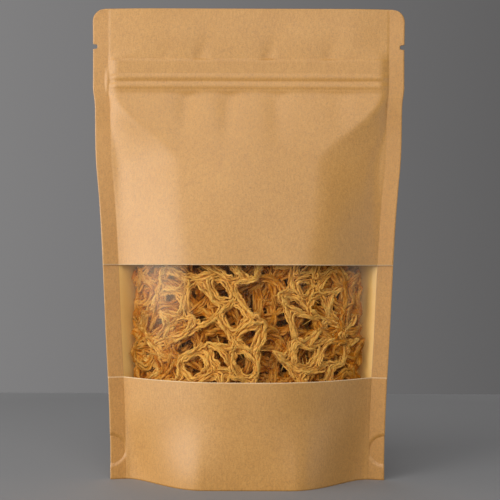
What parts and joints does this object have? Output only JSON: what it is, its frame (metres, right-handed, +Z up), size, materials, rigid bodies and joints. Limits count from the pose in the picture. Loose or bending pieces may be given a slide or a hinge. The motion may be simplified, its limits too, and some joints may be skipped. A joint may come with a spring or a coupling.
{
  "type": "pouch of dried irish moss seaweed",
  "caption": "Kraft paper stand-up pouch with a press zip, tear notches and a clear window strip, filled with a golden tangle of dried Irish moss seaweed.",
  "frame": {"origin": "on the floor, under the middle of the pouch", "axes": "+Z up, -Y out of the front panel with the window, +X towards the viewer's right"},
  "size_m": [0.1596, 0.0636, 0.24],
  "materials": {
    "kraft_paper": "matt brown kraft laminate",
    "clear_film": "clear glossy film",
    "zip_plastic": "natural translucent polyethylene",
    "dried_moss": "dry, horny, golden to brown"
  },
  "bodies": {
    "root": {"pouch_front_upper": "kraft_paper", "pouch_front_lower": "kraft_paper", "pouch_back": "kraft_paper", "pouch_gusset": "kraft_paper", "pouch_window_film": "clear_film", "zip_groove_front": "zip_plastic", "zip_rib_back": "zip_plastic", "moss_frond_01": "dried_moss", "moss_frond_02": "dried_moss", "moss_frond_03": "dried_moss", "moss_frond_04": "dried_moss", "moss_frond_05": "dried_moss", "moss_frond_06": "dried_moss", "moss_frond_07": "dried_moss", "moss_frond_08": "dried_moss", "moss_frond_09": "dried_moss", "moss_frond_10": "dried_moss", "moss_frond_11": "dried_moss", "moss_frond_12": "dried_moss", "moss_frond_13": "dried_moss", "moss_frond_14": "dried_moss", "moss_frond_15": "dried_moss", "moss_frond_16": "dried_moss"}
  },
  "joints": []
}
